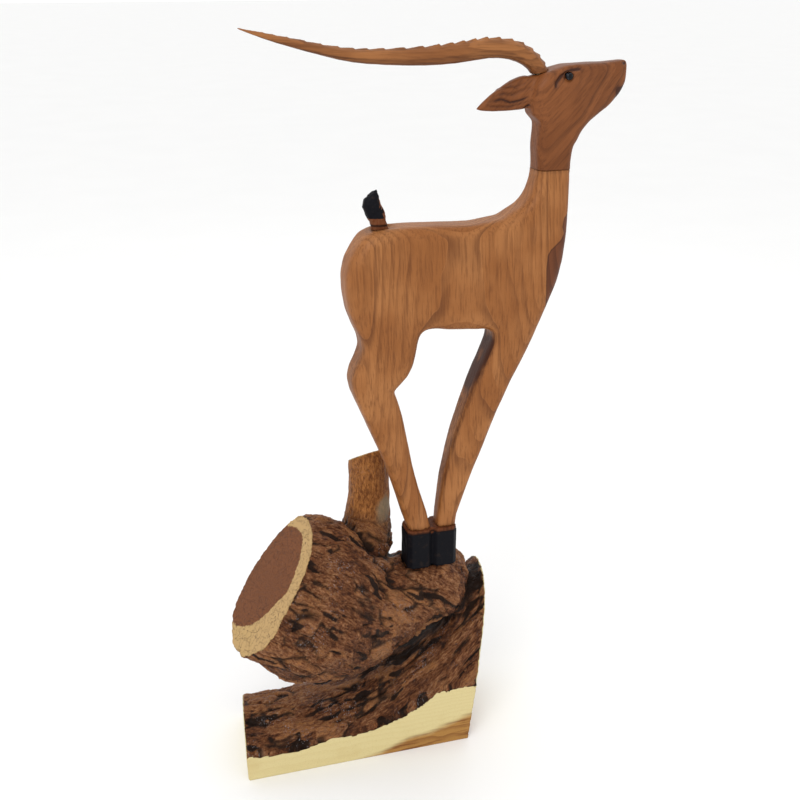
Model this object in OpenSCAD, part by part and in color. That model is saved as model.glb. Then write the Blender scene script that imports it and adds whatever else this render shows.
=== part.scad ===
// Carved antelope on a forked log: a board-carved animal with one long swept-back horn,
// glued and dowelled together, standing with its hooves drawn together on a natural log.
//
// Frame: millimetres, +Z up, +X the way the animal faces, Y across the board.
// The origin is on the floor, under the middle of the hoof block, in the animal's middle plane.

/* [Log base] */
// Height of the flat seat for the hooves, above the floor
seat_z = 286; // [230:1:350]
// Length of the sawn bottom edge of the lower limb
base_len = 326; // [250:1:400]
// From the middle plane forward to the sawn front face
base_front = 48; // [42:1:60]
// From the middle plane back to the bark of the lower limb
base_back = 106; // [90:1:130]
// Crest height of the lower limb at its free end
limb_low_h = 78; // [60:1:90]
// Crest height of the lower limb at the fork
fork_h = 268; // [200:1:300]
// Height of the sawn front face at the fork
face_h = 90; // [70:1:110]
// Radius of the upper limb
limb_r = 100; // [80:1:112]
// Depth of the lumps in the bark
bark_lump = 2.5; // [0:0.5:5]
// Radius of the stub branch
stub_r = 29; // [20:1:31]
// Height of the stub branch at its front edge, above the hoof seat
stub_rise = 166; // [110:1:190]

/* [Hoof block] */
// Width of the hoof block, both hooves
hoof_w = 72; // [56:1:86]
// Depth of the hoof block, front to back of the board
hoof_d = 40; // [36:1:52]
// Height of the hoof block
hoof_h = 58; // [46:1:72]
// Width of the crease between the two hooves
hoof_crease = 5; // [2:0.5:8]
// Bevel on the upright corners of the hooves
hoof_bevel = 6; // [2:0.5:9]

/* [Body] */
// From the hoof block up to the belly
leg_len = 284; // [230:1:345]
// From the belly up to the back
barrel_h = 139; // [112:1:170]
// From the back up to the neck joint
neck_rise = 60; // [47:1:74]
// From the middle of the hooves back to the rump
rump_reach = 115; // [102:1:142]
// From the middle of the hooves forward to the chest
chest_reach = 178; // [160:1:214]
// Thickness of the barrel
barrel_t = 58; // [48:1:70]
// Thickness of the legs at the hooves
leg_t = 32; // [25:1:38]

/* [Neck and head] */
// Width of the neck at its joint, rear to front
neck_w = 45; // [38:1:55]
// Thickness of the neck at its joint
neck_t = 42; // [34:1:51]
// From the neck joint up to the back of the skull
neck_len = 74; // [60:1:90]
// Height of the head above the neck joint
head_top = 129; // [105:1:155]
// Length of the head, skull to nose
head_len = 133; // [112:1:162]
// Thickness of the head at the eyes
head_t = 50; // [42:1:60]
// Length of the ear
ear_len = 72; // [58:1:88]
// Thickness of the ear at its root
ear_t = 26; // [18:1:32]
// Radius of the eye bead
eye_r = 4.2; // [3:0.1:5]
// Depth of the eye sockets
eye_depth = 8; // [6:0.5:10]

/* [Horn] */
// Level reach of the horn, root to tip
horn_reach = 362; // [300:1:435]
// Rise of the horn's tip above its root
horn_rise = 54; // [45:1:65]
// Height of the horn's section at its thickest
horn_h = 25; // [20:1:30]
// Thickness of the horn across the board
horn_t = 22; // [18:1:26]
// Number of teeth on the upper edge
teeth = 23; // [12:1:28]
// Depth of the largest teeth
tooth_h = 2.4; // [1:0.1:3.6]

/* [Tail] */
// Height of the tail
tail_h = 50; // [40:1:60]
// Width of the tail's tuft
tail_w = 26; // [20:1:32]
// Thickness of the tail
tail_t = 20; // [14:1:24]

/* [Joinery] */
// Radius of the dowels in the neck and the legs
dowel_r = 5; // [3:0.5:6]
// Radius of the dowels in the horn and the tail
peg_r = 3.5; // [2:0.5:4.5]
// How far the neck and leg dowels go into each piece
dowel_in = 27; // [20:1:34]
// How far the horn and tail dowels go into each piece
peg_in = 14; // [8:1:16]
// Gap for glue around and at the end of each dowel
glue_gap = 0.15; // [0.05:0.05:0.4]

/* [Hidden] */

// Heights that the pieces share
hoof_z = seat_z + hoof_h;
belly_z = hoof_z + leg_len;
back_z = belly_z + barrel_h;
joint_z = back_z + neck_rise;

// Sides of the rings that the carved shapes and the log are drawn with
carve_n = 20;
bark_n = 36;
horn_n = 12;
// Larger than anything here, for sawing away a half space
saw = 900;

// ---------- curves and lofts ----------

function mix(a, b, t) = a + (b - a) * t;
function clamp(x, lo, hi) = min(max(x, lo), hi);
// A curve through four rows, from row b to row c
function bend(a, b, c, d, t) =
    (2 * b + (c - a) * t + (2 * a - 5 * b + 4 * c - d) * t * t + (3 * b - a - 3 * c + d) * t * t * t) / 2;
// The table's rows with steps in between, along a smooth curve
function smooth(rows, steps) = let (last = len(rows) - 1) concat(
    [for (i = [0:last - 1]) for (k = [0:steps - 1])
        bend(rows[max(i - 1, 0)], rows[i], rows[i + 1], rows[min(i + 2, last)], k / steps)],
    [rows[last]]);
function swell(v, p) = sign(v) * pow(abs(v), p);

// Ring at height z between x0 and x1, half t thick; a low softness gives squarer corners
function level_ring(z, x0, x1, t, soft) = [for (i = [0:carve_n - 1]) let (a = i * 360 / carve_n)
    [mix(x0, x1, 0.5 + 0.5 * swell(cos(a), soft)), t * swell(sin(a), soft), z]];

// A closed skin over rings that follow each other. Seen against the way that they follow, each ring runs
// clockwise, and so does each face that is made from them
module loft(rings) {
    n = len(rings[0]);
    last = len(rings) - 1;
    polyhedron(
        [for (r = rings) each r],
        concat(
            [[for (j = [0:n - 1]) j]],
            [for (i = [0:last - 1]) for (j = [0:n - 1]) let (a = i * n + j, b = i * n + (j + 1) % n)
                each [[a, b + n, b], [a, a + n, b + n]]],
            [[for (j = [n - 1:-1:0]) last * n + j]]),
        convexity = 8);
}

// One mesh from all its children, before it is drilled
module carve() resize([0, 0, 0]) union() children();

// A half space on the side that the direction points to
module sawn_off(point, direction) {
    tilt = acos(direction[2] / norm(direction));
    turn = atan2(direction[1], direction[0]);
    translate(point) rotate([0, tilt, turn]) translate([-saw, -saw, 0]) cube([2 * saw, 2 * saw, saw]);
}

// ---------- log ----------

// The lower limb is half a log. Its rings run up the sawn front face, over the bark and back along the floor.
// Rows from the free end to the fork: [share of base_len, crest height between the free end and the fork,
// back edge as a share of base_back, height of the sawn front face as a share of face_h, roundness: lower is
// blunter]
base_left = 51 - base_len;
low_limb = [[0, 0, 0.9, 0.34, 1], [0.1, 0, 0.9, 0.37, 1], [0.24, 0.01, 0.92, 0.4, 1],
            [0.36, 0.035, 0.93, 0.49, 1], [0.47, 0.1, 0.95, 0.45, 0.98], [0.59, 0.22, 0.97, 0.54, 0.95],
            [0.7, 0.37, 0.98, 0.67, 0.9], [0.78, 0.5, 0.99, 0.79, 0.84], [0.86, 0.68, 1, 0.93, 0.78],
            [0.92, 0.83, 1, 0.99, 0.72], [1, 0.93, 1, 1, 0.7]];
// How far the sawn ends lean outward with height, and how far they are turned, at the free end and at the fork
end_lean = [-0.03, 0.12];
end_turn = [0.114, 0.12];

// Lumps of the bark round a ring, as a length to add to the radius
function lump(a, s) =
    bark_lump * (sin(3 * a + s * 290) + 0.8 * sin(5 * a - s * 510) + 0.6 * sin(8 * a + s * 770)) / 1.6;

function low_ring(r) = let (
        crest = mix(limb_low_h, fork_h, r[1]),
        back = base_back * r[2],
        start = 180 - asin(pow(face_h * r[3] / crest, 1 / r[4])),
        half = (back + base_front) / (1 + swell(-cos(start), r[4])),
        outline = concat([for (i = [0:bark_n - 1]) let (
                a = start * i / (bark_n - 1),
                e = i == 0 || i == bark_n - 1 ? 0 : lump(a, r[0]))
            [back - half + (half + e) * swell(cos(a), r[4]), (crest + e) * swell(sin(a), r[4])]],
            [[-base_front, 0]]))
    [for (q = outline) [base_left + r[0] * base_len + mix(end_lean[0], end_lean[1], r[0]) * q[1]
                        + mix(end_turn[0], end_turn[1], r[0]) * (q[0] + base_front), q[0], q[1]]];
module lower_limb() loft([for (r = smooth(low_limb, 2)) low_ring(r)]);

// The upper limb: [x, y, height of its middle above the hoof seat, half depth, half height], the last two as
// shares of limb_r. The middle drops as limb_r grows past limb_drawn, so that the crest stays at the hoof seat
limb_drawn = 100;
high_limb = [[-300, -16, 5, 0.66, 0.68], [-262, -19, -1, 0.73, 0.82], [-219, -17, -26, 0.77, 1.01],
             [-170, -11, -28, 0.84, 1.1], [-115, -2, -38, 0.86, 1.03], [-72, 4, -52, 0.76, 0.74],
             [-35, 6, -53, 0.62, 0.59], [0, 6, -40, 0.5, 0.54], [30, 6, -42, 0.46, 0.54],
             [52, 10, -50, 0.38, 0.46], [66, 16, -56, 0.28, 0.34], [75, 20, -62, 0.16, 0.2]];
// How far the limb leans back with height
limb_tilt = 0.2;

module upper_limb() loft([for (r = smooth(high_limb, 2))
    [for (i = [0:bark_n - 1]) let (a = (i + 0.3) * 360 / bark_n, e = lump(a + 40, r[0] / base_len))
        [r[0],
         r[1] + (limb_r * r[3] + e) * cos(a) + limb_tilt * limb_r * r[4] * sin(a),
         seat_z + r[2] - (limb_r - limb_drawn) * 0.9 + (limb_r * r[4] + e) * sin(a)]]]);

stub_x = -70;
stub_y = leg_t / 2 + 10 + stub_r;
stub_cut = [stub_x + 1, stub_y - stub_r, seat_z + stub_rise];

// [height as a share of stub_rise, radius as a share of stub_r]
stub_rows = [[-0.12, 1.9], [0.085, 1.7], [0.2, 1.42], [0.36, 1.14], [0.55, 1.02], [0.9, 0.98], [1.2, 0.98]];
module stub_branch() loft([for (r = stub_rows)
    [for (i = [0:carve_n - 1]) let (
            a = i * 360 / carve_n,
            rr = stub_r * r[1] + bark_lump / 2 * sin(3 * a + r[0] * 330))
        [stub_x - (r[1] - 1) * stub_r * 0.85 + rr * cos(a), stub_y - (r[1] - 1) * stub_r / 2 + rr * sin(a),
         seat_z + r[0] * stub_rise]]]);

// Sawn faces: the oval end of the upper limb and the top of the stub
oval_face = [-0.765, -0.07, 0.636];
oval_point = [-225, 0, seat_z + 4];
stub_face = [-0.14, 0.53, 0.848];

module log_base() difference() {
    color("saddlebrown") carve() {
        lower_limb();
        difference() {
            upper_limb();
            sawn_off(oval_point, oval_face);
        }
        difference() {
            stub_branch();
            sawn_off(stub_cut, stub_face);
        }
    }
    hoof_seat();
    leg_drills();
}

// The flat that is cut into the top of the log for the hooves, and the room round them
seat_gap = 1;
module hoof_seat() translate([0, 0, seat_z]) linear_extrude(hoof_h) offset(delta = seat_gap) hoof_plan();

// ---------- hooves ----------

// Two bevelled lobes side by side, with a crease between them on both faces
module hoof_plan() {
    for (side = [-1, 1])
        translate([2 + side * hoof_w / 4, 0]) hoof_lobe(hoof_w / 2 - hoof_crease / 2 + 2);
    translate([2, 0]) square([hoof_w / 2, hoof_d - 2 * hoof_bevel], center = true);
}
module hoof_lobe(w) {
    b = hoof_bevel;
    polygon([for (c = [[-1, -1], [1, -1], [1, 1], [-1, 1]], k = [0, 1]) let (first = (c[0] == c[1]) == (k == 1))
        [c[0] * (w / 2 - (first ? b : 0)), c[1] * (hoof_d / 2 - (first ? 0 : b))]]);
}

module hoof_block() color("black") difference() {
    translate([0, 0, seat_z]) linear_extrude(hoof_h) hoof_plan();
    leg_drills();
}

// Where the legs stand on the block
hind_foot_x = -0.14 * rump_reach;
fore_foot_x = 0.135 * chest_reach;

module leg_drills() for (x = [hind_foot_x, fore_foot_x])
    dowel_at([x, 0, hoof_z], [0, 0, 1], dowel_r + glue_gap, dowel_in + glue_gap, hoof_h + dowel_in + glue_gap);
module leg_dowels() color("tan") for (x = [hind_foot_x, fore_foot_x])
    dowel_at([x, 0, hoof_z], [0, 0, 1], dowel_r, dowel_in, hoof_h + dowel_in);

// A round rod through a point along a direction, so far ahead and so far behind
module dowel_at(point, direction, r, ahead, behind) {
    tilt = acos(direction[2] / norm(direction));
    turn = atan2(direction[1], direction[0]);
    translate(point) rotate([0, tilt, turn]) translate([0, 0, -behind])
        cylinder(r = r, h = ahead + behind, $fn = 48);
}

// ---------- body ----------

// The carved shapes are lofts between two edges in the middle plane. A row gives the inner edge and the outer
// edge, and how far a ring bows forward between them. x is a share of rump_reach behind the hooves and of
// chest_reach before them.
function body_x(share) = share * (share < 0 ? rump_reach : chest_reach);
function leg_row(r) = [body_x(r[1]), hoof_z + r[0] * leg_len, body_x(r[3]), hoof_z + r[2] * leg_len, 0];
function barrel_row(r) = [body_x(r[1]), belly_z + r[0] * barrel_h, body_x(r[3]), belly_z + r[2] * barrel_h, 0];
// The neck keeps its own width, measured back from the chest
function withers_row(r) = [body_x(r[1]), belly_z + r[0] * barrel_h, chest_reach - r[3] * neck_w,
                           back_z + r[2] * neck_rise, r[4] * neck_w];

// Hind leg, hoof to thigh: [inner height share, inner x, outer height share, outer x]
hind_leg = [[0, 0.008, 0, -0.265], [0.08, -0.035, 0.08, -0.33], [0.22, -0.14, 0.22, -0.43],
            [0.36, -0.225, 0.36, -0.54], [0.48, -0.285, 0.48, -0.66], [0.6, -0.34, 0.58, -0.76],
            [0.69, -0.405, 0.68, -0.865], [0.735, -0.45, 0.74, -0.925], [0.765, -0.37, 0.8, -0.95],
            [0.8, -0.285, 0.85, -0.92], [0.85, -0.225, 0.9, -0.855], [0.91, -0.19, 0.95, -0.81],
            [0.97, -0.165, 1.0, -0.83]];
// Haunch and barrel, thigh to withers, as shares of barrel_h above the belly
haunch = [[0.0, -0.14, 0.1, -0.885], [0.02, -0.11, 0.25, -0.955], [0.03, -0.08, 0.42, -0.99],
          [0.035, -0.05, 0.58, -0.992], [0.037, -0.02, 0.73, -0.95], [0.036, 0.01, 0.86, -0.86],
          [0.033, 0.03, 0.94, -0.785], [0.03, 0.05, 0.985, -0.67], [0.022, 0.08, 1, -0.5],
          [0.015, 0.13, 1, -0.25], [0.008, 0.19, 0.995, 0], [0, 0.26, 0.985, 0.16],
          [-0.01, 0.33, 0.985, 0.3]];
// Withers and neck stump, as shares of neck_rise and neck_w, the bow as a share of neck_w. The rows at 1.6
// stand above the neck joint, where the stump is sawn level
withers = [[-0.012, 0.38, 0.05, 1.93, 0.03], [-0.018, 0.404, 0.14, 1.74, 0.08],
           [-0.025, 0.418, 0.3, 1.38, 0.16], [-0.03, 0.426, 0.46, 1.19, 0.22],
           [-0.034, 0.432, 0.64, 1.08, 0.27], [-0.038, 0.437, 0.82, 1.02, 0.32],
           [-0.042, 0.441, 1.0, 0.99, 0.38], [-0.046, 0.444, 1.6, 0.96, 0.5],
           [-0.055, 0.446, 1.6, 0.75, 0.46], [-0.065, 0.448, 1.6, 0.5, 0.36],
           [-0.08, 0.449, 1.6, 0.25, 0.2], [-0.1, 0.45, 1.6, 0, 0.06], [-0.12, 0.448, 0.9, 0, 0.03],
           [-0.14, 0.444, 0.3, 0.005, 0], [-0.165, 0.437, -0.25, 0.02, 0]];
// Chest, from the neck down, as shares of barrel_h
chest = [[-0.2, 0.427, 0.66, 0.978], [-0.25, 0.41, 0.42, 0.94], [-0.32, 0.39, 0.2, 0.876]];
// Fore leg, from the elbow down to the hoof
fore_leg = [[0.79, 0.352, 0.96, 0.79], [0.72, 0.306, 0.85, 0.71], [0.62, 0.248, 0.72, 0.612],
            [0.5, 0.187, 0.58, 0.517], [0.38, 0.139, 0.43, 0.431], [0.26, 0.1, 0.29, 0.346],
            [0.13, 0.074, 0.14, 0.265], [0.05, 0.06, 0.05, 0.221], [0, 0.054, 0, 0.213]];
body_rows = concat([for (r = hind_leg) leg_row(r)], [for (r = haunch) barrel_row(r)],
                   [for (r = withers) withers_row(r)], [for (r = chest) barrel_row(r)],
                   [for (r = fore_leg) leg_row(r)]);

// Thickness of the board at a height, up to the skull
function body_t(p) = lookup(p[1], [[hoof_z, leg_t], [hoof_z + 0.3 * leg_len, mix(leg_t, barrel_t, 0.13)],
    [hoof_z + 0.6 * leg_len, mix(leg_t, barrel_t, 0.4)], [hoof_z + 0.8 * leg_len, mix(leg_t, barrel_t, 0.66)],
    [belly_z, mix(leg_t, barrel_t, 0.9)], [belly_z + 0.35 * barrel_h, barrel_t],
    [belly_z + 0.7 * barrel_h, barrel_t], [back_z, mix(neck_t, barrel_t, 0.84)],
    [mix(back_z, joint_z, 0.5), mix(neck_t, barrel_t, 0.3)], [joint_z, neck_t],
    [joint_z + 0.6 * neck_len, neck_t], [joint_z + 0.8 * head_top, head_t]]);

// Squareness of the rings' spacing: lower puts more of it at the edges
carve_soft = 0.58;
// Width of the rounding along the edges, as a share of half the thickness there
edge_round = 0.6;
// How much of the thickness stays as a flat on the edge
edge_flat = 0.45;

// How far a point is from a line of points
function gap_to(p, a, b) = norm(p - a - (b - a) * clamp((p - a) * (b - a) / ((b - a) * (b - a)), 0, 1));
function line_gap(p, line) = min([for (i = [0:len(line) - 2]) gap_to(p, line[i], line[i + 1])]);
function edge_lines(rows) = [[for (r = rows) [r[0], r[1]]], [for (r = rows) [r[2], r[3]]]];

// A ring between two points of the middle plane, with a thickness for each
function edge_ring(r) = [for (i = [0:carve_n - 1]) let (
        a = (i + 0.5) * 360 / carve_n,
        k = 0.5 - 0.5 * swell(cos(a), carve_soft))
    [mix(r[0], r[2], k), mix(r[4], r[5], k) / 2 * swell(sin(a), carve_soft), mix(r[1], r[3], k)]];
// A ring of a board whose edges are rounded all along their lines
function board_ring(r, lines, half) = [for (i = [0:carve_n - 1]) let (
        a = (i + 0.5) * 360 / carve_n,
        k = 0.5 - 0.5 * swell(cos(a), carve_soft),
        p = [mix(r[0], r[2], k) + 4 * k * (1 - k) * r[4], mix(r[1], r[3], k)],
        t = half(p) / 2,
        e = clamp(1 - min([for (l = lines) line_gap(p, l)]) / (edge_round * t), 0, 1))
    [p[0], sign(sin(a)) * t * mix(edge_flat, 1, sqrt(1 - e * e)), p[1]]];

module torso_and_legs() difference() {
    color("peru") carve() difference() {
        loft([for (r = body_rows) board_ring(r, edge_lines(body_rows), function (p) body_t(p))]);
        sawn_off([0, 0, joint_z], [0, 0, 1]);
        tail_seat();
    }
    leg_drills();
    neck_drills();
    tail_drill();
}

// ---------- neck and head ----------

// Where the neck meets the chest, and the places of the head's features
neck_rear = chest_reach - neck_w;
skull_x = chest_reach - 62;
ear_tip_x = skull_x + 10 - ear_len;

// Neck, as shares of neck_len and neck_w behind the chest: [throat height, x, nape height, x]
neck = [[0, 0, 0, 0.99], [0.1, 0, 0.12, 1.0], [0.22, -0.02, 0.36, 1.03], [0.31, -0.04, 0.6, 1.01],
        [0.385, -0.075, 0.78, 0.99]];
// Head, as shares of head_len from the skull and head_top above the joint: [jaw height, x, brow height, x]
head = [[0.262, 0.52, 0.53, 0.05], [0.3, 0.534, 0.66, 0.04], [0.338, 0.553, 0.8, 0.06],
        [0.375, 0.578, 0.89, 0.12], [0.406, 0.605, 0.92, 0.2], [0.44, 0.638, 0.945, 0.29],
        [0.475, 0.686, 0.968, 0.38], [0.522, 0.752, 0.974, 0.5], [0.565, 0.82, 0.978, 0.63],
        [0.615, 0.875, 0.98, 0.76], [0.67, 0.93, 0.99, 0.87], [0.72, 0.965, 0.997, 0.95],
        [0.765, 0.985, 0.995, 0.985], [0.82, 0.998, 0.975, 1]];
function neck_row(r) = [chest_reach - r[1] * neck_w, joint_z + r[0] * neck_len,
                        chest_reach - r[3] * neck_w, joint_z + r[2] * neck_len, 0];
function head_row(r) = [skull_x + r[1] * head_len, joint_z + r[0] * head_top,
                        skull_x + r[3] * head_len, joint_z + r[2] * head_top, 0];
head_rows = concat([for (r = neck) neck_row(r)], [for (r = head) head_row(r)]);
nose_row = head_rows[len(head_rows) - 1];
head_edges = concat(edge_lines(head_rows), [[[nose_row[0], nose_row[1]], [nose_row[2], nose_row[3]]]]);
// The face narrows to the nose
function face_t(p) = min(body_t(p), lookup((p[0] - skull_x) / head_len,
    [[0.3, head_t], [0.5, 0.92 * head_t], [0.65, 0.78 * head_t], [0.8, 0.62 * head_t], [1, 0.46 * head_t]]));

// Ear: [share of ear_len from the tip, lower and upper edge as shares of head_top, thickness share]
ear = [[0, 0.575, 0.585, 0.12], [0.11, 0.56, 0.64, 0.3], [0.25, 0.556, 0.705, 0.45], [0.45, 0.554, 0.78, 0.62],
       [0.62, 0.556, 0.835, 0.75], [0.8, 0.565, 0.872, 0.85], [1.0, 0.59, 0.885, 0.9], [1.2, 0.62, 0.87, 0.9]];

module ear_leaf() loft([for (r = ear) let (x = ear_tip_x + r[0] * ear_len)
    edge_ring([x, joint_z + r[1] * head_top, x, joint_z + r[2] * head_top, r[3] * ear_t, r[3] * ear_t])]);

module neck_and_head() difference() {
    color("peru") carve() difference() {
        union() {
            loft([for (r = head_rows) board_ring(r, head_edges, function (p) face_t(p))]);
            ear_leaf();
        }
        horn_seat();
    }
    neck_drills();
    horn_drill();
    for (side = [-1, 1]) eye_socket(side);
}

// Two dowels across the neck joint
module neck_dowel_pair(r, half) for (x = [0.3, 0.7])
    dowel_at([neck_rear + x * neck_w, 0, joint_z], [0, 0, 1], r, half, half);
module neck_drills() neck_dowel_pair(dowel_r + glue_gap, dowel_in + glue_gap);
module neck_dowels() color("tan") neck_dowel_pair(dowel_r, dowel_in);

// ---------- eyes ----------

eye_at = [skull_x + 0.37 * head_len, joint_z + 0.87 * head_top];
// Where the flat of the face lies at the eye
eye_face_y = head_t * 0.47;

module eye_socket(side) translate([eye_at[0], side * eye_face_y, eye_at[1]]) rotate([side * -90, 0, 0])
    translate([0, 0, -eye_depth]) cylinder(r = eye_r + glue_gap, h = 2 * eye_depth, $fn = 48);
// A bead: a peg with a low dome on its outer end
module eye_bead(side) color([0.05, 0.04, 0.04]) translate([eye_at[0], side * eye_face_y, eye_at[1]])
    rotate([side * -90, 0, 0]) rotate_extrude($fn = 48) intersection() {
        union() {
            translate([0, -eye_depth + glue_gap]) square([eye_r, eye_depth - glue_gap]);
            intersection() {
                translate([0, -eye_r]) circle(r = eye_r * 1.414, $fn = 64);
                square([eye_r, eye_r]);
            }
        }
        translate([0, -eye_depth]) square([eye_r, 2 * eye_depth]);
    }
module eye_left() eye_bead(1);
module eye_right() eye_bead(-1);

// ---------- horn ----------

// Middle line of the horn from tip to root: [reach share, rise share, height share, thickness share].
// Its root runs on into the head, where the joint face cuts it off
horn_line = [[1, 1.05, 0.06, 0.1], [0.93, 0.91, 0.25, 0.32], [0.86, 0.78, 0.38, 0.48],
             [0.76, 0.61, 0.5, 0.64], [0.655, 0.46, 0.64, 0.78], [0.56, 0.405, 0.76, 0.88],
             [0.43, 0.385, 0.88, 0.96], [0.32, 0.42, 0.96, 1], [0.24, 0.485, 1, 1], [0.165, 0.53, 0.98, 1],
             [0.09, 0.46, 0.97, 1], [0.035, 0.27, 0.92, 1], [0.0, 0.02, 0.86, 1], [-0.02, -0.24, 0.8, 1]];
horn_root = [skull_x + 0.14 * head_len, 0, joint_z + 0.893 * head_top];
horn_face = [-0.25, 0, 0.968];
tooth_flank = 0.94;

function horn_row(t) = let (last = len(horn_line) - 1, i = min(floor(t * last), last - 1), f = t * last - i)
    bend(horn_line[max(i - 1, 0)], horn_line[i], horn_line[i + 1], horn_line[min(i + 2, last)], f);
function horn_mid(t) = let (r = horn_row(t))
    [horn_root[0] - r[0] * horn_reach, horn_root[2] + r[1] * horn_rise];
// The section: a serrated upper edge, a ridge along each side and a rounded lower edge
function horn_ring(t, tooth) = let (
        r = horn_row(t),
        m = horn_mid(t),
        along = horn_mid(min(t + 0.01, 1)) - horn_mid(max(t - 0.01, 0)),
        up = [-along[1], along[0]] / norm(along),
        h = r[2] * horn_h / 2,
        w = r[3] * horn_t / 2)
    [for (i = [0:horn_n - 1]) let (
            a = i * 360 / horn_n,
            lift = sin(a) > 0.9 ? h + tooth : h * swell(sin(a), 0.8),
            side = w * swell(cos(a), sin(a) > 0 ? 1.15 : 0.75))
        [m[0] + up[0] * lift, side, m[1] + up[1] * lift]];

module horn() difference() {
    color("peru") carve() difference() {
        loft(concat(
            [horn_ring(0, 0)],
            [for (i = [0:teeth - 1]) let (t0 = 0.05 + 0.9 * i / teeth,
                                          t1 = 0.05 + 0.9 * (i + tooth_flank) / teeth,
                                          size = tooth_h * min(1, 0.3 + 1.4 * i / teeth))
                each [horn_ring(t0, 0), horn_ring(t1, size)]],
            [horn_ring(0.96, 0), horn_ring(1, 0)]));
        sawn_off(horn_root, -horn_face);
    }
    horn_drill();
}

// The flat on the head where the horn is glued
module horn_seat() translate(horn_root) rotate([0, -atan2(-horn_face[0], horn_face[2]), 0])
    translate([-horn_h * 0.62, -horn_t / 2 - 1, 0]) cube([horn_h * 1.15, horn_t + 2, horn_h]);
module horn_drill() dowel_at(horn_root, horn_face, peg_r + glue_gap, peg_in + glue_gap, peg_in + glue_gap);
module horn_dowel() color("tan") dowel_at(horn_root, horn_face, peg_r, peg_in, peg_in);

// ---------- tail ----------

// Tail from its root up: [height share, rear and front edge as shares of tail_w, thickness share]
tail_rows = [[0, -0.32, 0.6, 0.8], [0.2, -0.4, 0.44, 0.9], [0.36, -0.56, 0.42, 0.95], [0.56, -0.72, 0.26, 1],
             [0.74, -0.66, 0.14, 0.85], [0.9, -0.34, 0.06, 0.55], [1, -0.06, 0, 0.12]];
tail_root = [-0.6 * rump_reach, 0, back_z - 4];

module tail() difference() {
    color([0.1, 0.08, 0.07]) carve() loft([for (r = smooth(tail_rows, 2))
        level_ring(tail_root[2] + r[0] * tail_h, tail_root[0] + r[1] * tail_w, tail_root[0] + r[2] * tail_w,
                   r[3] * tail_t / 2, 0.8)]);
    tail_drill();
}
module tail_seat() translate([tail_root[0] - tail_w * 0.5, -tail_t / 2 - 1, tail_root[2]])
    cube([tail_w * 1.3, tail_t + 2, tail_h]);
module tail_drill() dowel_at(tail_root, [0, 0, 1], peg_r + glue_gap, peg_in + glue_gap, peg_in + glue_gap);
module tail_dowel() color("tan") dowel_at(tail_root, [0, 0, 1], peg_r, peg_in, peg_in);

log_base();
hoof_block();
leg_dowels();
torso_and_legs();
neck_dowels();
neck_and_head();
horn();
horn_dowel();
tail();
tail_dowel();
eye_left();
eye_right();
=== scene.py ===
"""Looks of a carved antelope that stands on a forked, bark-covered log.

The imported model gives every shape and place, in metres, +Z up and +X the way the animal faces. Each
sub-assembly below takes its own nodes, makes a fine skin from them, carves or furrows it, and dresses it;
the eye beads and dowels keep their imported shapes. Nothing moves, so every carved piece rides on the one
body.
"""

import logging
import math
from dataclasses import dataclass, field
from enum import Enum

import bpy
import numpy as np
from mathutils import Euler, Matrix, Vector, noise

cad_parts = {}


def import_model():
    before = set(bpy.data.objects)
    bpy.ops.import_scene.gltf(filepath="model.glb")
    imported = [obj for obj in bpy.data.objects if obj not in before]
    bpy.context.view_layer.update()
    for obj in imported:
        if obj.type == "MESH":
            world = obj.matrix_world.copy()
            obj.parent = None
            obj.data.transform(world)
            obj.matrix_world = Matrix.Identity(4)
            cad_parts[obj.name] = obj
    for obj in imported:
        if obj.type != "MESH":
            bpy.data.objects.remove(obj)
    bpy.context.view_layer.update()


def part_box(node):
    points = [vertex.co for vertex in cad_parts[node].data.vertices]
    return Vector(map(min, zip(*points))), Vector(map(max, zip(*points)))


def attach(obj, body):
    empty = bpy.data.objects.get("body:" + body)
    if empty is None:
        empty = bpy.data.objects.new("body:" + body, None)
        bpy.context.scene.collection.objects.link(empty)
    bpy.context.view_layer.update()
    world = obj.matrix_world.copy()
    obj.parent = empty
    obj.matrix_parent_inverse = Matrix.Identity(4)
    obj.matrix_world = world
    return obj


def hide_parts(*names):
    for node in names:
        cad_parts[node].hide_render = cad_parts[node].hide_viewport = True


LOG = logging.getLogger("antelope")
BODY = "root"
MM = 0.001
CM = 0.01

Array = np.ndarray
Piece = bpy.types.Object
Colour = tuple[float, float, float]
Point = tuple[float, float, float]
Socket = bpy.types.NodeSocket
Feed = Socket | float | tuple


class Slot(Enum):
    """The record's material slots."""

    BARK = "bark_log"
    HOOF = "hoof_black"
    BODY = "body_wood"
    HEAD = "head_wood"
    HORN = "horn_wood"
    TAIL = "tail_black"
    EYE = "eye_bead"
    DOWEL = "dowel_wood"


# ---------- small sums ----------


def ease(low: float, high: float, value: Array) -> Array:
    """A soft step: 0 below low, 1 above high and a smooth rise between them."""
    t = np.clip((value - low) / (high - low), 0, 1)
    return t * t * (3 - 2 * t)


def bell(distance: Array, width: float) -> Array:
    """A round bump of height 1 that fades out over width."""
    return np.exp(-np.square(distance / width))


def line_distance(places: Array, line: list[tuple[float, float]]) -> tuple[Array, Array]:
    """How far points are from a line of points in their plane.

    Args:
        places: Points, two numbers each.
        line: The line's points.

    Returns:
        The distance, and how far along the line the nearest point is, from 0 to 1.
    """
    best = np.full(len(places), 1e9)
    along = np.zeros(len(places))
    for i, (start, end) in enumerate(zip(line, line[1:])):
        a, b = np.array(start), np.array(end)
        t = np.clip((places - a) @ (b - a) / ((b - a) @ (b - a)), 0, 1)
        gap = np.linalg.norm(places - a - t[:, None] * (b - a), axis=1)
        along = np.where(gap < best, (i + t) / (len(line) - 1), along)
        best = np.minimum(best, gap)
    return best, along


def grain_noise(places: Array, octaves: int = 3) -> Array:
    """Smooth noise, from about -1 to 1, at each point."""
    return np.array([noise.fractal(Vector(p), 1.0, 2.0, octaves) for p in places])


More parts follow.
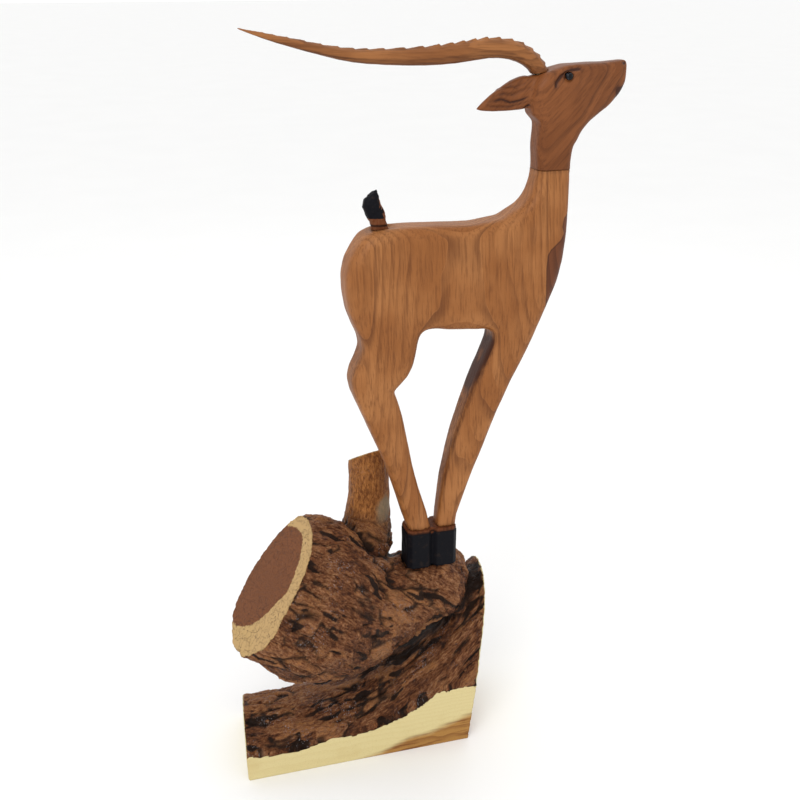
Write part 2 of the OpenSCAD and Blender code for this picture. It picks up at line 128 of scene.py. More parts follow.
def ridges(places: Array, octaves: int = 3) -> Array:
    """Noise with sharp crests, from 0 in the valleys to about 1 on the crests."""
    return 1 - np.abs(grain_noise(places, octaves)) * 1.6


def cells(places: Array) -> tuple[Array, Array]:
    """A pattern of cells.

    Args:
        places: Points, with a cell about 1 wide.

    Returns:
        How far each point is from its cell's edge, 0 on the edge, and a number from 0 to 1 for the cell.
    """
    edge, tone = np.zeros(len(places)), np.zeros(len(places))
    for i, p in enumerate(places):
        distances, seeds = noise.voronoi(Vector(p))
        edge[i] = distances[1] - distances[0]
        tone[i] = noise.cell(seeds[0] * 7.3)
    return edge, tone


# ---------- node trees ----------


class Graph:
    """A material's node tree, with a short call for each kind of node that the finishes share."""

    def __init__(self, name: str) -> None:
        """Starts a material that holds one shader.

        Args:
            name: The material's name.
        """
        self.material = bpy.data.materials.new(name)
        self.material.use_nodes = True
        self.tree = self.material.node_tree
        self.shader = self.tree.nodes["Principled BSDF"]

    def feed(self, socket: Socket, value: Feed) -> None:
        """Links a socket to another, or sets its value."""
        if isinstance(value, Socket):
            self.tree.links.new(value, socket)
        else:
            socket.default_value = value

    def node(self, kind: str, feeds: dict[str | int, Feed], **settings: object) -> bpy.types.Node:
        """Adds a node.

        Args:
            kind: The node's type, without its ShaderNode prefix.
            feeds: What goes into each input.
            settings: The node's own settings.

        Returns:
            The node.
        """
        made = self.tree.nodes.new("ShaderNode" + kind)
        for key, value in settings.items():
            setattr(made, key, value)
        for key, value in feeds.items():
            self.feed(made.inputs[key], value)
        return made

    def set(self, **values: Feed) -> None:
        """Sets the shader's inputs; an underscore in a name stands for a space."""
        for key, value in values.items():
            self.feed(self.shader.inputs[key.replace("_", " ")], value)

    def place(self) -> Socket:
        """The point on the object, in the shared frame."""
        return self.node("TexCoord", {}).outputs["Object"]

    def mark(self, name: str, output: str = "Fac") -> Socket:
        """A value that the mesh carries."""
        return self.node("Attribute", {}, attribute_name=name).outputs[output]

    def math(self, operation: str, a: Feed, b: Feed = 0.0) -> Socket:
        """A sum of one or two numbers."""
        return self.node("Math", {0: a, 1: b}, operation=operation).outputs[0]

    def plus(self, a: Feed, b: Feed) -> Socket:
        """Two numbers, added."""
        return self.math("ADD", a, b)

    def minus(self, a: Feed, b: Feed) -> Socket:
        """The first number less the second."""
        return self.math("SUBTRACT", a, b)

    def times(self, a: Feed, b: Feed) -> Socket:
        """Two numbers, multiplied."""
        return self.math("MULTIPLY", a, b)

    def vector(self, operation: str, a: Feed, b: Feed = (0.0, 0.0, 0.0)) -> Socket:
        """A sum of one or two vectors."""
        made = self.node("VectorMath", {0: a, 1: b}, operation=operation)
        return made.outputs["Value" if operation in ("LENGTH", "DISTANCE") else "Vector"]

    def turned(self, vector: Feed, turn: Point) -> Socket:
        """A vector, turned."""
        return self.node("Mapping", {"Vector": vector, "Rotation": turn}).outputs[0]

    def stretched(self, vector: Feed, scale: Point) -> Socket:
        """A vector, scaled along each axis."""
        return self.node("Mapping", {"Vector": vector, "Scale": scale}).outputs[0]

    def cloud(self, vector: Feed, scale: float, detail: float = 3.0, rough: float = 0.5) -> Socket:
        """Soft noise about 0.5."""
        feeds = {"Vector": vector, "Scale": scale, "Detail": detail, "Roughness": rough}
        return self.node("TexNoise", feeds).outputs["Fac"]

    def drift(self, vector: Feed, scale: float, reach: float) -> Socket:
        """A vector, pushed about by noise as far as reach."""
        colour = self.node("TexNoise", {"Vector": vector, "Scale": scale, "Detail": 2.0}).outputs["Color"]
        push = self.vector("MULTIPLY", self.vector("SUBTRACT", colour, (0.5, 0.5, 0.5)), (2 * reach,) * 3)
        return self.vector("ADD", vector, push)

    def swing(self, value: Feed, reach: float) -> Socket:
        """Noise about 0.5, moved to lie about 0 and scaled by reach."""
        return self.times(self.minus(value, 0.5), reach)

    def vein(self, value: Feed, width: float) -> Socket:
        """0 where noise crosses 0.5, rising to 1 at width from it, which draws thin wandering lines."""
        return self.step(self.math("ABSOLUTE", self.minus(value, 0.5)), 0.0, width)

    def step(self, value: Feed, low: float, high: float) -> Socket:
        """A soft step from 0 at low to 1 at high."""
        feeds = {"Value": value, "From Min": low, "From Max": high}
        return self.node("MapRange", feeds, interpolation_type="SMOOTHSTEP").outputs[0]

    def ramp(self, value: Feed, stops: list[tuple[float, Colour]]) -> Socket:
        """Colours along a value.

        Args:
            value: Where on the band to read.
            stops: Places on the band, each with its colour.

        Returns:
            The colour.
        """
        made = self.node("ValToRGB", {0: value})
        band = made.color_ramp
        while len(band.elements) < len(stops):
            band.elements.new(1.0)
        for element, (position, colour) in zip(band.elements, stops):
            element.position, element.color = position, (*colour, 1)
        return made.outputs["Color"]

    def blend(self, share: Feed, a: Feed, b: Feed) -> Socket:
        """Two numbers, mixed."""
        return self.node("Mix", {0: share, 2: a, 3: b}, data_type="FLOAT").outputs[0]

    def mix(self, share: Feed, a: Feed, b: Feed, blend: str = "MIX") -> Socket:
        """Two colours, mixed."""
        a, b = ((*c, 1) if isinstance(c, tuple) else c for c in (a, b))
        return self.node("Mix", {0: share, 6: a, 7: b}, data_type="RGBA", blend_type=blend).outputs[2]

    def bump(self, height: Feed, depth: float, strength: float = 1.0, under: Feed | None = None) -> Socket:
        """Relief in the surface.

        Args:
            height: The relief, about 0 to 1.
            depth: How deep that is, in metres.
            strength: How strongly it shows.
            under: Another relief that this one adds to.

        Returns:
            The normal that the shader reads.
        """
        feeds = {"Height": height, "Distance": depth, "Strength": strength}
        if under is not None:
            feeds["Normal"] = under
        return self.node("Bump", feeds).outputs[0]

    def dress(self, *pieces: Piece) -> None:
        """Gives the material to pieces, as their only one."""
        for piece in pieces:
            piece.data.materials.clear()
            piece.data.materials.append(self.material)


# ---------- finishes ----------


@dataclass(frozen=True)
class CarvedWood:
    """Varnished hardwood. Its growth rings lie round a pith line, and show where the carving cuts them."""

    name: str
    pith: Point
    turn: Point
    ring_gap: float = 0.0068
    wobble: float = 0.014
    light: Colour = (0.345, 0.140, 0.044)
    middle: Colour = (0.250, 0.088, 0.022)
    dark: Colour = (0.095, 0.027, 0.006)
    # Dark colour for real stains and for painted shade.
    stain_and_shade: Colour = (0.045, 0.013, 0.005)
    heart: Colour = (0.125, 0.038, 0.013)
    roughness: float = 0.50

    def dress(self, *pieces: Piece) -> None:
        """Makes the material and gives it to pieces.

        Args:
            pieces: The objects. Where they carry the stain mark, which holds real stains and painted shade,
                and the "heart" mark, those darken them.
        """
        g = Graph(self.name)
        local = g.turned(g.vector("SUBTRACT", g.place(), self.pith), self.turn)
        streaks = g.cloud(g.stretched(local, (420, 420, 16)), 1.0, 4.0, 0.6)
        base, line = self.grain(g, local, streaks)
        # The stain mark darkens the wood: real stains and glue lines, and painted shade on faces turned
        # from the light and in the gouges.
        stain_and_shade = g.mark("stain_and_shade")
        streaked_stain_and_shade = g.times(stain_and_shade, g.step(streaks, 0.2, 0.62))
        base = g.mix(g.math("MAXIMUM", streaked_stain_and_shade, g.step(stain_and_shade, 0.5, 0.85)), base, self.stain_and_shade)
        shine = g.plus(self.roughness - 0.08, g.times(streaks, 0.2))
        relief = g.plus(g.times(streaks, 0.7), g.times(line, -0.5))
        under = g.bump(g.cloud(g.stretched(local, (1, 1, 0.45)), 55.0, 2.0), 1.6 * MM, 0.35)
        g.set(Base_Color=base, Roughness=shine, Normal=g.bump(relief, 0.35 * MM, 0.5, under))
        g.set(Coat_Weight=0.04, Coat_Roughness=0.3, IOR=1.45, Specular_IOR_Level=0.2)
        g.dress(*pieces)

    def grain(self, g: Graph, local: Socket, streaks: Socket) -> tuple[Socket, Socket]:
        """Draws the growth rings, streaks, pores and heartwood.

        Args:
            g: The finish's graph.
            local: The place round the pith line.
            streaks: Noise along the grain.

        Returns:
            The wood's colour, and how dark each growth line is.
        """
        slow = g.drift(g.stretched(local, (1, 1, 0.4)), 9.0, self.wobble)
        slow = g.drift(slow, 40.0, self.wobble * 0.12)
        across = g.vector("MULTIPLY", slow, (1, 1, 0))
        rings = g.math("DIVIDE", g.vector("LENGTH", across), self.ring_gap)
        ring = g.math("FRACT", rings)
        pores = g.cloud(g.stretched(local, (1500, 1500, 60)), 1.0, 2.0)
        year = g.node("TexWhiteNoise", {"W": g.math("FLOOR", rings)}, noise_dimensions="1D")
        year = year.outputs["Value"]
        weight = g.times(g.plus(0.25, year), g.step(g.cloud(slow, 24.0), 0.25, 0.6))
        line = g.times(g.times(g.step(ring, 0.35, 0.98), g.step(ring, 1.0, 0.955)), weight)
        patches = g.plus(g.cloud(local, 14.0, 3.0), g.times(year, 0.2))
        base = g.mix(g.step(patches, 0.38, 0.82), self.middle, self.light)
        base = g.mix(g.times(g.step(streaks, 0.46, 0.70), 0.5), base, self.dark)
        base = g.mix(g.times(line, 0.62), base, self.dark)
        base = g.mix(g.times(g.step(pores, 0.58, 0.74), 0.3), base, self.dark)
        heart = g.mark("heart")
        aged = g.mix(g.times(g.step(ring, 0.2, 0.95), 0.6), self.heart, self.dark, "MULTIPLY")
        base = g.mix(g.step(heart, -0.04, 0.04), base, g.mix(0.45, aged, self.heart))
        rim = g.minus(1.0, g.step(g.math("ABSOLUTE", heart), 0.0, 0.16))
        base = g.mix(g.times(rim, g.times(g.step(heart, -0.9, -0.05), 0.75)), base, self.stain_and_shade)
        return base, line


@dataclass(frozen=True)
class LogWood:
    """Varnished bark with painted shade in its furrows, cracks and crevice and painted glints on it, and
    pale sapwood and brown heartwood on the sawn faces.
    """

    name: str = "log"
    # Painted shade: the near-black colour in the furrows, cracks and crevice.
    furrow_shade: Colour = (0.014, 0.005, 0.002)
    bark_dark: Colour = (0.075, 0.023, 0.008)
    bark: Colour = (0.290, 0.100, 0.034)
    bark_light: Colour = (0.640, 0.310, 0.140)
    orange: Colour = (0.480, 0.165, 0.035)
    # Painted highlight: the pale colour of small varnish glints.
    painted_glint: Colour = (0.520, 0.500, 0.520)
    stub_dark: Colour = (0.170, 0.052, 0.011)
    stub_light: Colour = (0.520, 0.200, 0.050)
    grey: Colour = (0.400, 0.330, 0.210)
    sap: Colour = (0.620, 0.520, 0.260)
    sap_dark: Colour = (0.450, 0.300, 0.105)
    oval_sap: Colour = (0.400, 0.235, 0.090)
    heart: Colour = (0.152, 0.047, 0.011)
    heart_dark: Colour = (0.060, 0.018, 0.006)
    low_heart: Colour = (0.360, 0.180, 0.045)
    fuzz: Colour = (0.72, 0.66, 0.58)
    sawn_roughness: float = 0.62

    def dress(self, piece: Piece) -> None:
        """Makes the material and gives it to the log, which carries the marks that it reads.

        Args:
            piece: The log.
        """
        g = Graph(self.name)
        bark_colour, bark_relief, bark_shine = self.bark_skin(g)
        wood_colour, wood_relief = self.sawn_skin(g)
        sawn = g.step(g.plus(g.mark("sawn"), g.swing(g.cloud(g.place(), 260.0), 0.3)), 0.42, 0.58)
        height = g.blend(sawn, bark_relief, wood_relief)
        shine = g.blend(sawn, bark_shine, self.sawn_roughness)
        g.set(Base_Color=g.mix(sawn, bark_colour, wood_colour), Roughness=shine)
        g.set(Normal=g.bump(height, 3.4 * MM, 1.0))
        g.set(Coat_Weight=0.05, Coat_Roughness=0.15, IOR=1.45, Specular_IOR_Level=0.2)
        g.dress(piece)

    def bark_skin(self, g: Graph) -> tuple[Socket, Socket, Socket]:
        """Draws the bark.

        Args:
            g: The finish's graph.

        Returns:
            Its colour, relief and roughness.
        """
        along = g.mark("bark_place", "Vector")
        fibres = g.cloud(g.drift(g.stretched(along, (130, 330, 330)), 0.8, 0.7), 1.0, 7.0, 0.74)
        cell = g.drift(g.stretched(along, (95, 300, 300)), 0.9, 0.9)
        flakes = g.node("TexVoronoi", {"Vector": cell}, feature="DISTANCE_TO_EDGE").outputs["Distance"]
        seam = g.cloud(g.drift(g.stretched(along, (75, 190, 190)), 1.1, 0.5), 1.0, 5.0, 0.62)
        chips = g.times(g.step(flakes, 0.0, 0.12), g.vein(seam, 0.032))
        # Painted highlight: small pale glints scattered in patches, fewer on the stub.
        spots, where = g.cloud(along, 480.0), g.cloud(along, 26.0)
        painted_glint = g.times(g.step(spots, 0.60, 0.66), g.step(where, 0.52, 0.66))
        patches = g.cloud(along, 22.0, 4.0)
        furrow, stub = g.mark("furrow"), g.mark("stub")
        tone = g.plus(g.times(g.mark("plate"), 0.4), g.times(patches, 0.6))
        shade = g.plus(g.times(fibres, 0.72), g.times(tone, 0.36))
        colour = g.ramp(shade, [(0.42, self.bark_dark), (0.50, self.bark), (0.62, self.bark_light)])
        glow = g.times(g.step(tone, 0.47, 0.60), g.step(fibres, 0.44, 0.58))
        colour = g.mix(g.times(glow, 0.72), colour, self.orange)
        smooth = g.mix(g.step(fibres, 0.36, 0.62), self.stub_dark, self.stub_light)
        smooth = g.mix(g.times(g.step(g.mark("grey"), 0.25, 0.8), 0.75), smooth, self.grey)
        colour = g.mix(stub, colour, smooth)
        # Painted shade in the cracks between the bark's flakes and along the seams, lighter on the stub.
        crack_shade = g.times(g.minus(1.0, chips), g.minus(0.5, g.times(stub, 0.3)))
        colour = g.mix(crack_shade, colour, self.bark_dark)
        # Painted shade, near black, in the furrows, cracks and the crevice between the limbs.
        colour = g.mix(g.times(g.step(furrow, 0.35, 0.9), 0.95), colour, self.furrow_shade)
        colour = g.mix(g.times(painted_glint, g.minus(0.6, g.times(stub, 0.5))), colour, self.painted_glint)
        relief = g.plus(g.times(chips, 0.40), g.times(fibres, 1.2))
        relief = g.times(relief, g.minus(1.0, g.times(stub, 0.6)))
        shine = g.plus(0.30, g.times(g.cloud(along, 70.0), 0.5))
        return colour, relief, shine

    def sawn_skin(self, g: Graph) -> tuple[Socket, Socket]:
        """Draws the sawn faces.

        Args:
            g: The finish's graph.

        Returns:
            Their colour and relief.
        """
        place, heart, pith, oval = g.place(), g.mark("heart"), g.mark("pith"), g.mark("oval")
        wander = g.plus(pith, g.times(g.cloud(place, 30.0), 0.5))
        late = g.step(g.math("FRACT", g.times(wander, 2.3)), 0.35, 0.98)
        fuzz = g.cloud(place, 520.0, 3.0)
        streaks = g.cloud(g.stretched(place, (26, 300, 300)), 1.0, 4.0)
        sap = g.mix(g.times(late, 0.10), self.sap, self.sap_dark)
        sap = g.mix(g.times(oval, 0.85), sap, self.oval_sap)
        sap = g.mix(g.times(g.step(g.cloud(place, 16.0), 0.5, 0.75), 0.3), sap, self.sap_dark)
        tan = g.mix(g.times(late, 0.55), self.low_heart, self.heart)
        brown = g.mix(oval, tan, g.mix(g.times(late, 0.25), self.heart, self.heart_dark))
        brown = g.mix(g.times(g.step(streaks, 0.52, 0.66), g.minus(0.8, oval)), brown, self.heart)
        blur = g.plus(0.10, g.times(g.minus(1.0, oval), 1.1))
        edge = g.math("DIVIDE", g.plus(heart, g.swing(streaks, 0.6)), blur)
        colour = g.mix(g.step(edge, -0.5, 0.5), sap, brown)
        polar = g.node("CombineXYZ", {0: g.mark("spoke"), 1: g.times(pith, 0.13), 2: 0.3}).outputs[0]
        spokes = g.cloud(polar, 9.0, 3.0, 0.6)
        split = g.times(g.minus(1.0, g.vein(spokes, 0.012)), oval)
        colour = g.mix(g.times(split, 0.75), colour, self.heart_dark)
        colour = g.mix(g.times(g.step(fuzz, 0.5, 0.7), 0.3), colour, self.fuzz, "MULTIPLY")
        return colour, g.minus(g.times(fuzz, 0.08), g.times(split, 0.35))


@dataclass(frozen=True)
class BlackPaint:
    """Black satin paint over wood, with bare brown wood where a mark says so."""

    name: str
    paint: Colour = (0.005, 0.005, 0.007)
    worn: Colour = (0.030, 0.018, 0.013)
    wood: Colour = (0.060, 0.018, 0.007)
    wood_light: Colour = (0.130, 0.040, 0.015)
    crease: Colour = (0.012, 0.005, 0.004)

    def dress(self, *pieces: Piece) -> None:
        """Makes the material and gives it to pieces that carry the marks "bare" and "groove"."""
        g = Graph(self.name)
        place = g.place()
        strokes = g.cloud(g.stretched(place, (300, 300, 40)), 1.0, 4.0, 0.6)
        wear = g.times(g.step(g.cloud(place, 120.0, 4.0), 0.55, 0.72), 0.35)
        paint = g.mix(wear, self.paint, self.worn)
        wood = g.mix(g.step(strokes, 0.3, 0.7), self.wood, self.wood_light)
        bare = g.step(g.plus(g.mark("bare"), g.swing(strokes, 0.5)), 0.4, 0.6)
        colour = g.mix(g.step(g.mark("groove"), 0.3, 0.9), g.mix(bare, paint, wood), self.crease)
        g.set(Base_Color=colour, Roughness=g.plus(0.36, g.times(strokes, 0.3)))
        g.set(Normal=g.bump(strokes, 0.5 * MM, 0.6), Specular_IOR_Level=0.08, IOR=1.45)
        g.dress(*pieces)


@dataclass(frozen=True)
class EyeBead:
    """A smooth near-black bead with a cold cloud in it."""

    name: str = "eye_bead"
    dark: Colour = (0.004, 0.004, 0.005)
    cold: Colour = (0.020, 0.026, 0.034)

    def dress(self, *pieces: Piece) -> None:
        """Makes the material and gives it to pieces."""
        g = Graph(self.name)
        cloud = g.cloud(g.place(), 260.0, 3.0)
        g.set(Base_Color=g.mix(g.step(cloud, 0.4, 0.7), self.dark, self.cold))
        g.set(Roughness=g.plus(0.16, g.times(cloud, 0.1)), Coat_Weight=0.05, Specular_IOR_Level=0.12)
        g.dress(*pieces)


@dataclass(frozen=True)
class DowelWood:
    """Raw pale hardwood with grain along the rods."""

    name: str = "dowel_wood"

    def dress(self, *pieces: Piece) -> None:
        """Makes the material and gives it to pieces."""
        g = Graph(self.name)
        streaks = g.cloud(g.stretched(g.place(), (500, 500, 20)), 1.0, 4.0)
        g.set(Base_Color=g.ramp(streaks, [(0.3, (0.42, 0.25, 0.11)), (0.7, (0.66, 0.46, 0.25))]))
        g.set(Roughness=g.plus(0.5, g.times(streaks, 0.3)), Normal=g.bump(streaks, 0.3 * MM))
        g.dress(*pieces)


@dataclass(frozen=True)
class PaleFloor:
    """A plain pale floor with the faintest mottle."""

    name: str = "floor"

    def dress(self, *pieces: Piece) -> None:
        """Makes the material and gives it to pieces."""
        g = Graph(self.name)
        mottle = g.cloud(g.place(), 3.0, 2.0)
        g.set(Base_Color=g.mix(mottle, (0.86, 0.86, 0.855), (0.89, 0.89, 0.885)), Roughness=0.7)
        g.dress(*pieces)


# ---------- meshes ----------


def hand_over(piece: Piece, finish: CarvedWood | LogWood | BlackPaint, slot: Slot, *nodes: str) -> None:
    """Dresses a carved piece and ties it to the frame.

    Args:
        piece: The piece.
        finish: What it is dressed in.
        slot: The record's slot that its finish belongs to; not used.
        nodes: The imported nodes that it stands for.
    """
    finish.dress(piece)
    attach(piece, BODY)
    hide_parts(*nodes)
    piece.data.calc_loop_triangles()
    count = len(piece.data.loop_triangles)
    LOG.info("%s: %d triangles, stands for %s", piece.name, count, ", ".join(nodes))


def deselect() -> None:
    """Leaves nothing selected, in object mode."""
    if bpy.context.object is not None and bpy.context.object.mode != "OBJECT":
        bpy.ops.object.mode_set(mode="OBJECT")
    bpy.ops.object.select_all(action="DESELECT")


def apply_modifier(piece: Piece, kind: str, **settings: object) -> None:
    """Adds a modifier to a piece and applies it.

    Args:
        piece: The object.
        kind: The modifier's type.
        settings: The modifier's settings.
    """
    deselect()
    bpy.context.view_layer.objects.active = piece
    piece.select_set(True)
    made = piece.modifiers.new(kind.title(), kind)
    for key, value in settings.items():
        setattr(made, key, value)
    bpy.ops.object.modifier_apply(modifier=made.name)


@dataclass
class Skin:
    """A fine mesh that is carved by moving its vertices."""

    piece: Piece

    @classmethod
    def from_node(cls, node: str, name: str, voxel: float) -> "Skin":
        """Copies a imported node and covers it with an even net.

        Args:
            node: The node's name.
            name: The new piece's name.
            voxel: The width of the net's faces.

        Returns:
            The skin of the new piece.
        """
        deselect()
        source = bpy.data.objects[node]
        piece = bpy.data.objects.new(name, source.data.copy())
        bpy.context.scene.collection.objects.link(piece)
        bpy.context.view_layer.objects.active = piece
        piece.select_set(True)
        bpy.ops.object.mode_set(mode="EDIT")
        bpy.ops.mesh.select_all(action="SELECT")
        bpy.ops.mesh.remove_doubles(threshold=0.02 * MM)
        bpy.ops.object.mode_set(mode="OBJECT")
        apply_modifier(piece, "REMESH", mode="VOXEL", voxel_size=voxel, use_smooth_shade=True)
        return cls(piece)

    @property
    def places(self) -> Array:
        """Where the vertices are."""
        flat = np.zeros(len(self.piece.data.vertices) * 3)
        self.piece.data.vertices.foreach_get("co", flat)
        return flat.reshape(-1, 3)

    @property
    def normals(self) -> Array:
        """Which way the vertices face."""
        flat = np.zeros(len(self.piece.data.vertices) * 3, np.float32)
        self.piece.data.vertex_normals.foreach_get("vector", flat)
        return flat.reshape(-1, 3).astype(float)

    def put(self, places: Array) -> None:
        """Moves the vertices."""
        self.piece.data.vertices.foreach_set("co", places.astype(np.float32).ravel())
        self.piece.data.update()

    def spread(self, values: Array, rounds: int) -> Array:
        """Averages values with those of the vertices next to them.

        Args:
            values: A number or a vector for each vertex.
            rounds: How often.

        Returns:
            The averaged values.
        """
        ends = np.zeros(len(self.piece.data.edges) * 2, np.int32)
        self.piece.data.edges.foreach_get("vertices", ends)
        a, b = ends.reshape(-1, 2).T
        count = len(self.piece.data.vertices)
        share = np.bincount(a, minlength=count) + np.bincount(b, minlength=count) + 1.0
        columns = values.reshape(count, -1).copy()
        for _ in range(rounds):
            for k in range(columns.shape[1]):
                c = columns[:, k]
                columns[:, k] = (c + np.bincount(a, c[b], count) + np.bincount(b, c[a], count)) / share
        return columns.reshape(values.shape)

    def smooth(self, rounds: int) -> None:
        """Evens out the net without shrinking it."""
        for _ in range(rounds):
            p = self.places
            q = self.spread(p, 1)
            r = self.spread(q, 1)
            self.put(q + 0.5 * (q - r))

    def round_off(self, rounds: int, *joints: float) -> None:
        """Rounds the edges.

        Args:
            rounds: How much.
            joints: Heights of the glued ends, which keep their shape.
        """
        p = self.places
        share = np.ones(len(p))
        for height in joints:
            share *= ease(0.5 * MM, 7 * MM, np.abs(p[:, 2] - height))
        self.put(p + share[:, None] * (self.spread(p, rounds) - p))

    def carve(self, depth: Array) -> None:
        """Moves each vertex inward along its normal, by depth in metres."""
        self.put(self.places - self.normals * depth[:, None])

    def mark(self, name: str, values: Array) -> None:
        """Writes a number or a vector for each vertex, for the finish to read."""
        kind, key = ("FLOAT", "value") if values.ndim == 1 else ("FLOAT_VECTOR", "vector")
        made = self.piece.data.attributes.new(name, kind, "POINT")
        made.data.foreach_set(key, values.astype(np.float32).ravel())


@dataclass(frozen=True)
class Face:
    """A sawn face of the log: its middle, the way it faces, its area and the corners of its box."""

    middle: Array
    normal: Array
    area: float
    low: Array
    high: Array

    def holds(self, places: Array, slack: float) -> Array:
        """Says which points lie in the face's box, with some slack."""
        return np.all((places > self.low - slack) & (places < self.high + slack), axis=1)


def sawn_faces(node: str, least: float) -> list[Face]:
    """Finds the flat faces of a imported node.

    Args:
        node: The node's name.
        least: The least area that counts, in square metres.

    Returns:
        The faces, largest first.
    """
    groups: dict[tuple, list] = {}
    mesh = bpy.data.objects[node].data
    for polygon in mesh.polygons:
        n, c = polygon.normal, polygon.center
        key = (*(round(x, 2) for x in n), round(n.dot(c) / (0.5 * MM)))
        corners = np.array([mesh.vertices[i].co for i in polygon.vertices])
        groups.setdefault(key, []).append((polygon.area, np.array(c), np.array(n), corners))
    found = []
    for rows in groups.values():
        area = sum(r[0] for r in rows)
        if area > least:
            ends = np.concatenate([r[3] for r in rows])
            middle, normal = (sum(r[0] * r[k] for r in rows) / area for k in (1, 2))
            found.append(Face(middle, normal, area, ends.min(0), ends.max(0)))
    return sorted(found, key=lambda f: -f.area)


# ---------- the log ----------


@dataclass
class ForkedLog:
    """The natural log: a lower limb that is sawn flat, an upper limb with an oval sawn end, and a stub."""

    voxel: float = 2.4 * MM
    furrow_depth: float = 4.2 * MM
    crack_depth: float = 3.4 * MM
    crevice_depth: float = 8 * MM
    seat_depth: float = 12 * MM
    least_face: float = 0.0026
    # The lower limb's crest: its height at the left end, at the right end, and its curve's power.
    low_rise: tuple[float, float, float] = (0.078, 0.258, 2.6)
    # Heights over that crest: where the bark turns to the upper limb's run, and the crevice, which is
    # carved deeper and darkened with painted shade.
    limb_gap: float = 16 * MM
    fork_rise: float = 12 * MM
    fork_width: float = 15 * MM
    fork_start: tuple[float, float] = (-0.20, -0.14)
    # Heartwood: its x, height and slope on the front face, and its shift and half sizes on the oval.
    front_heart: tuple[float, float, float] = (-0.056, 0.013, 0.262)
    oval_heart: tuple[float, float, float] = (0.030, 0.068, 0.078)
    stub_heart: float = 0.012
    finish: LogWood = field(default_factory=LogWood)

    def build(self) -> None:
        """Makes the log, furrows its bark and dresses it."""
        skin = Skin.from_node("log_base", "log_bark", self.voxel)
        faces = sawn_faces("log_base", self.least_face)
        for f in faces:
            LOG.info("sawn face at %s facing %s", f.middle.round(3), f.normal.round(3))
        skin.smooth(2)
        self.flatten(skin, faces)
        sawn, outward = self.outward(skin, faces)
        along, stub = self.bark_places(skin, faces)
        depth, furrow, plate = self.furrows(skin, along, stub, sawn)
        skin.put(skin.places - outward * depth[:, None])
        self.flatten(skin, faces)
        self.seat(skin)
        skin.mark("sawn", sawn)
        # The painted shade in the furrows, cracks and crevice, kept off the sawn faces.
        skin.mark("furrow", furrow * (1 - sawn))
        skin.mark("plate", plate)
        skin.mark("stub", stub)
        skin.mark("bark_place", along)
        self.mark_faces(skin, faces, stub)
        hand_over(skin.piece, self.finish, Slot.BARK, "log_base")

    def flatten(self, skin: Skin, faces: list[Face]) -> None:
        """Puts what is nearly on a sawn face exactly on it, which sharpens its edge."""
        places, normals = skin.places, skin.normals
        for f in faces:
            off = (places - f.middle) @ f.normal
            near = (np.abs(off) < 0.55 * self.voxel) & (normals @ f.normal > 0.45)
            near &= f.holds(places, self.voxel)
            places[near] -= off[near, None] * f.normal
        skin.put(places)

    def seat(self, skin: Skin) -> None:
        """Keeps the bark out of the hooves.

        Args:
            skin: The log's skin.
        """
        low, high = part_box("hoof_block")
        p = skin.places
        under = np.all((p[:, :2] > np.array(low.xy) - MM) & (p[:, :2] < np.array(high.xy) + MM), axis=1)
        under &= p[:, 2] > low.z - self.seat_depth
        p[under, 2] = np.minimum(p[under, 2], low.z - 0.2 * MM)
        skin.put(p)

    def outward(self, skin: Skin, faces: list[Face]) -> tuple[Array, Array]:
        """Works out which way the bark grows, and which vertices lie on sawn faces.

        Args:
            skin: The log's skin.
            faces: Its sawn faces.

        Returns:
            1 on the sawn faces and 0 on the bark, and each vertex's direction, which stays in a sawn face.
        """
        places, normals = skin.places, skin.normals
        sawn = np.zeros(len(places))
        way = skin.spread(normals, 8)
        for f in faces:
            off = np.abs((places - f.middle) @ f.normal)
            on = (off < 0.1 * self.voxel) & (normals @ f.normal > 0.6) & f.holds(places, self.voxel)
            sawn = np.maximum(sawn, on)
            near = skin.spread(on.astype(float), 3) > 0.01
            way[near] -= (way[near] @ f.normal)[:, None] * f.normal
        size = np.linalg.norm(way, axis=1)
        kept = np.where(sawn > 0.5, np.clip(size / 0.6, 0, 1), 1.0)
        return sawn, way / np.maximum(size, 1e-6)[:, None] * kept[:, None]

    def crest(self, x: Array) -> Array:
        """Works out the height of the lower limb's crest.

        Args:
            x: Places along the log.

        Returns:
            A height for each.
        """
        low, high, power = self.low_rise
        left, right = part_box("log_base")
        share = np.clip((x - left.x) / (right.x - left.x), 0, 1)
        return low + (high - low) * share**power

    def bark_places(self, skin: Skin, faces: list[Face]) -> tuple[Array, Array]:
        """Lays the bark's run along each limb.

        Args:
            skin: The log's skin.
            faces: Its sawn faces.

        Returns:
            A place for each vertex whose first number runs along its limb, and how far it is on the stub.
        """
        p = skin.places
        x, y, z = p.T
        run = -self.oval_end(faces).normal
        rise = np.array([-run[2], 0, run[0]])
        upper = np.stack([p @ run, y, p @ rise], 1)
        lower = np.stack([x * 1.15 + 0.4, y, z - self.crest(x)], 1)
        high = ease(-8 * MM, 8 * MM, z - (self.crest(x) + self.limb_gap))[:, None]
        top = self.stub_top(faces)
        reach = np.hypot(x - top[0], y - top[1])
        lift = ease(0.0, 1.0, (z - 0.30) / 0.06 + (0.03 - reach) / 0.02)
        stub = lift * ease(0.075, 0.045, reach) * ease(0.285, 0.32, z)
        runs = lower * (1 - high) + upper * high
        upright = np.stack([z + 1.0, x, y], 1)
        return np.where(stub[:, None] > 0.5, upright, runs), stub

    def oval_end(self, faces: list[Face]) -> Face:
        """The upper limb's sawn end."""
        return max((f for f in faces if f.normal[0] < -0.5 and f.normal[2] > 0.3), key=lambda f: f.area)

    def stub_top(self, faces: list[Face]) -> Array:
        """The middle of the stub's sawn top, which is the highest face."""
        return max(faces, key=lambda f: f.middle[2]).middle

